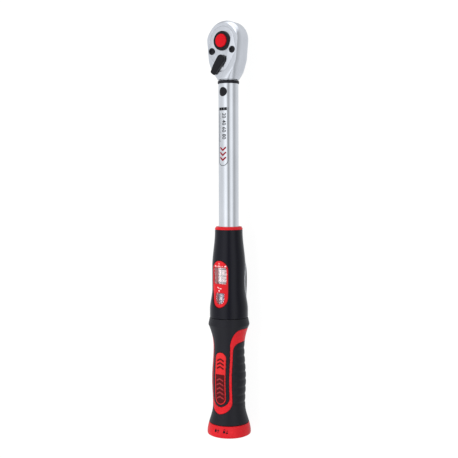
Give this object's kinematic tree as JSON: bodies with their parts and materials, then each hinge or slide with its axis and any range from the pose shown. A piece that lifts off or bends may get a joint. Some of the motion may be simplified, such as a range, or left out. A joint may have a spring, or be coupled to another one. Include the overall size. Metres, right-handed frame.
{
  "type": "torque wrench",
  "caption": "Click torque wrench with reversible ratchet head, quick-release square drive, windowed scale and turning grip with lock ring.",
  "frame": {"origin": "centre of the square drive's end face", "axes": "+X along the tool from the drive to the grip's end, +Z out of the face with the release button, so the drive points along -Z"},
  "size_m": [0.4564, 0.0488, 0.0516],
  "materials": {
    "satin_chrome": "satin chrome plate",
    "steel": "machined",
    "black_steel": "black oxide",
    "brass": "machined",
    "black_plastic": "fine matt grain",
    "black_soft": "soft matt",
    "red_plastic": "semi-gloss",
    "white_scale": "printed",
    "clear": "clear"
  },
  "bodies": {
    "barrel": {"tube": "satin_chrome", "neck_seal": "black_soft", "pivot_pin": "black_steel", "plunger": "steel", "main_spring": "steel", "thrust_bearing": "steel", "screw_bush": "brass", "body_shell": "black_plastic", "body_ring": "red_plastic", "window_frame": "red_plastic", "main_lens": "clear", "fine_lens": "clear", "rear_cover": "black_plastic"},
    "head": {"ratchet_head": "satin_chrome", "cover_plate": "satin_chrome", "cover_screws": "black_steel"},
    "trip": {"trip_block": "steel"},
    "drive": {"drive_gear": "satin_chrome", "hub_ring": "black_steel", "release_spring": "steel"},
    "release": {"release_button": "red_plastic", "release_rod": "steel"},
    "detent": {"detent_ball": "steel"},
    "lever": {"reversing_lever": "black_steel", "lever_detent_pin": "brass"},
    "rocker": {"pawl": "steel"},
    "grip": {"grip_core": "red_plastic", "grip_front_pad": "black_soft", "grip_rear_pad": "black_soft", "grip_panel": "red_plastic", "scale_drum": "white_scale", "adjusting_screw": "steel", "lock_snap_ring": "steel", "end_plug": "black_plastic"},
    "nut": {"spring_nut": "brass", "scale_slider": "white_scale"},
    "lock": {"lock_ring": "red_plastic"}
  },
  "joints": [
    {"name": "head_click", "type": "hinge", "parent": "barrel", "child": "head", "pos_m": [0.0544, 0, 0.0272], "axis": [0, 0, 1], "range_deg": [-1.5, 1.5], "stiffness_Nm_per_rad": 40},
    {"name": "trip_tilt", "type": "hinge", "parent": "barrel", "child": "trip", "pos_m": [0.1287, 0, 0.0272], "axis": [0, 0, 1], "range_deg": [-12, 12]},
    {"name": "drive_spin", "type": "hinge", "parent": "head", "child": "drive", "pos_m": [0, 0, 0.0272], "axis": [0, 0, 1], "continuous": true},
    {"name": "button_press", "type": "slide", "parent": "drive", "child": "release", "axis": [0, 0, -1], "range_m": [0, 0.003], "stiffness_N_per_m": 1500, "springref_m": -0.002, "deforming": ["release_spring"]},
    {"name": "ball_drop", "type": "slide", "parent": "drive", "child": "detent", "axis": [-1, 0, 0], "range_m": [0, 0.001]},
    {"name": "lever_turn", "type": "hinge", "parent": "head", "child": "lever", "pos_m": [0.0201, 0, 0.0272], "axis": [0, 0, 1], "range_deg": [0, 72]},
    {"name": "pawl_rock", "type": "hinge", "parent": "head", "child": "rocker", "pos_m": [0.0201, 0, 0.0272], "axis": [0, 0, 1], "range_deg": [0, 12]},
    {"name": "grip_turn", "type": "hinge", "parent": "barrel", "child": "grip", "pos_m": [0.3, 0, 0.0272], "axis": [1, 0, 0], "range_deg": [0, 2880]},
    {"name": "nut_travel", "type": "slide", "parent": "barrel", "child": "nut", "axis": [-1, 0, 0], "range_m": [0, 0.024], "deforming": ["main_spring"]},
    {"name": "lock_slide", "type": "slide", "parent": "grip", "child": "lock", "axis": [1, 0, 0], "range_m": [0, 0.005]}
  ],
  "couplings": [
    {"joint": "trip_tilt", "follows": "head_click", "ratio": -7.86},
    {"joint": "ball_drop", "follows": "button_press", "ratio": 0.33333},
    {"joint": "pawl_rock", "follows": "lever_turn", "ratio": 0.16667},
    {"joint": "nut_travel", "follows": "grip_turn", "m_per_rad": 0.00047746}
  ]
}
